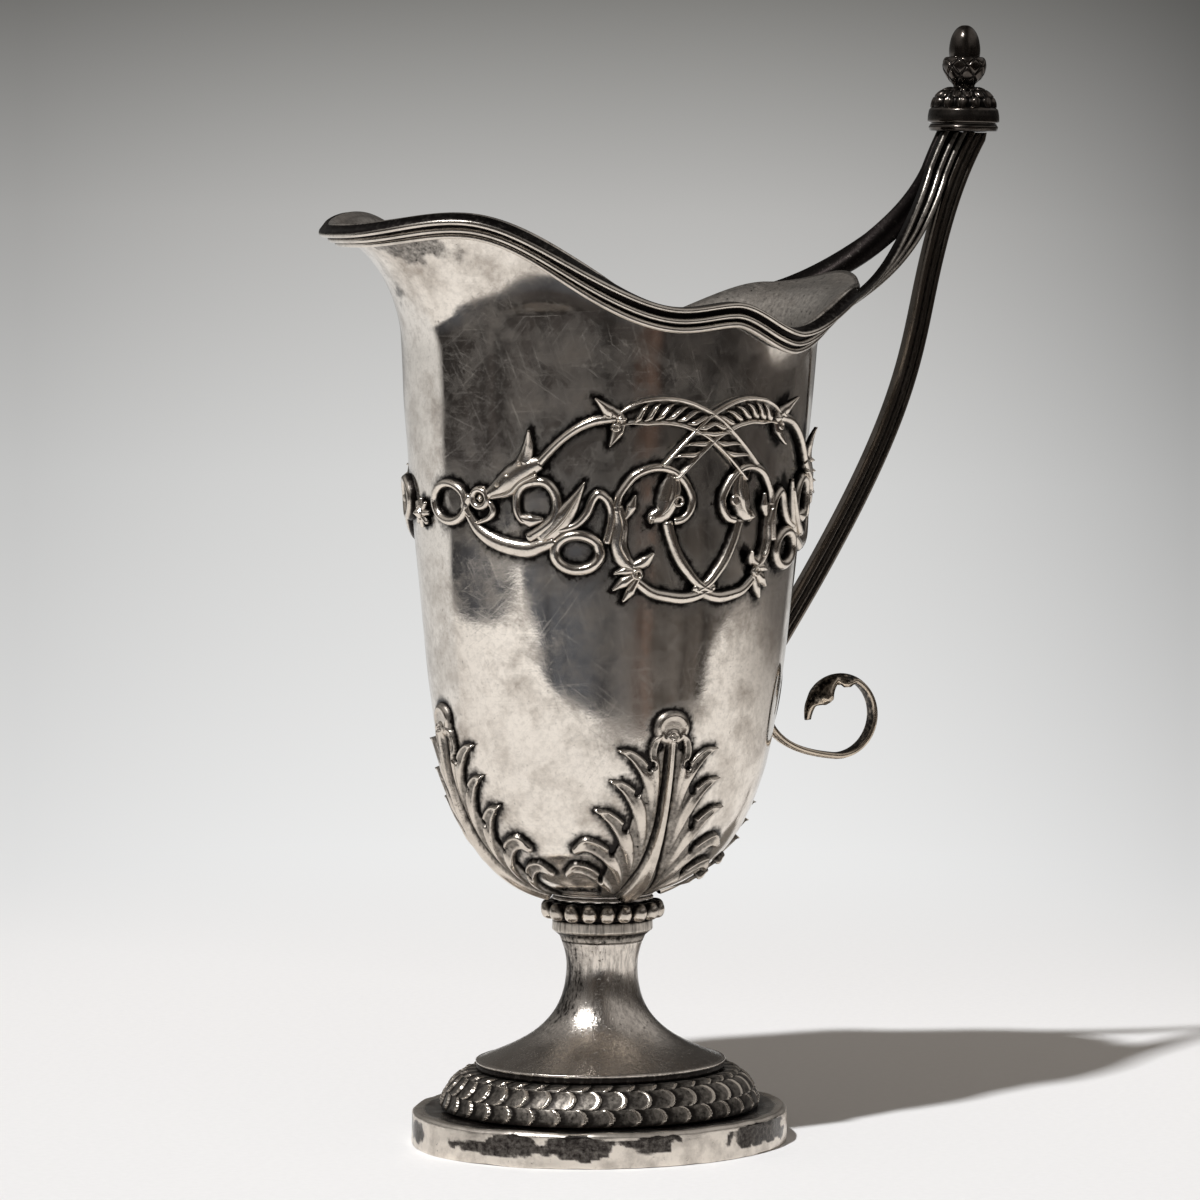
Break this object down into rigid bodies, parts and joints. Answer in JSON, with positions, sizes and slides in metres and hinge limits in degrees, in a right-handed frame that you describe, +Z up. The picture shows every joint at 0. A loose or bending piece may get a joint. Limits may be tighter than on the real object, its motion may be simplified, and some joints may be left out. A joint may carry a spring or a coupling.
{
  "type": "milk jug",
  "caption": "Helmet-shaped silver milk jug on an oval trumpet foot, with a wide pouring lip, a reeded rim that rises into a tall back handle, scroll frieze and leaves.",
  "frame": {"origin": "middle of the jug's footprint box, on the surface that it stands on; the oval foot's own axis is at X = -0.0140 m", "axes": "+Z up, +X from the spout towards the handle, +Y to the right of someone who looks from the handle towards the spout"},
  "size_m": [0.1498, 0.0776, 0.2262],
  "materials": {
    "foot_silver": "worn silver with fine turning marks and brown tarnish",
    "scale_silver": "chased silver, dark in the grooves",
    "bead_silver": "cast silver, bright on the beads and black between them",
    "bowl_silver": "raised and polished silver with fine scratches and mottled tarnish",
    "moulding_silver": "drawn silver strip, bright reeds and dark hollows",
    "handle_silver": "darkly tarnished silver",
    "finial_silver": "almost black tarnished cast silver",
    "frieze_silver": "cast silver, bright on its ridges and dark in its hollows",
    "leaf_silver": "cast and chased silver, bright on its ridges and dark in its hollows"
  },
  "bodies": {
    "root": {"plinth": "foot_silver", "scale_band": "scale_silver", "foot_trumpet": "foot_silver", "stem_collar": "foot_silver", "bead_ring": "bead_silver", "seat_ring": "foot_silver", "bowl": "bowl_silver", "rim_moulding_left": "moulding_silver", "rim_moulding_right": "moulding_silver", "handle_leg": "handle_silver", "handle_escutcheon": "handle_silver", "handle_scroll": "handle_silver", "cap_band": "finial_silver", "cap_dome": "finial_silver", "acorn_cup": "finial_silver", "acorn_nut": "finial_silver", "frieze_left": "frieze_silver", "frieze_right": "frieze_silver", "frieze_front": "frieze_silver", "leaf_front": "leaf_silver", "leaf_left": "leaf_silver", "leaf_right": "leaf_silver", "leaf_back": "leaf_silver"}
  },
  "joints": []
}
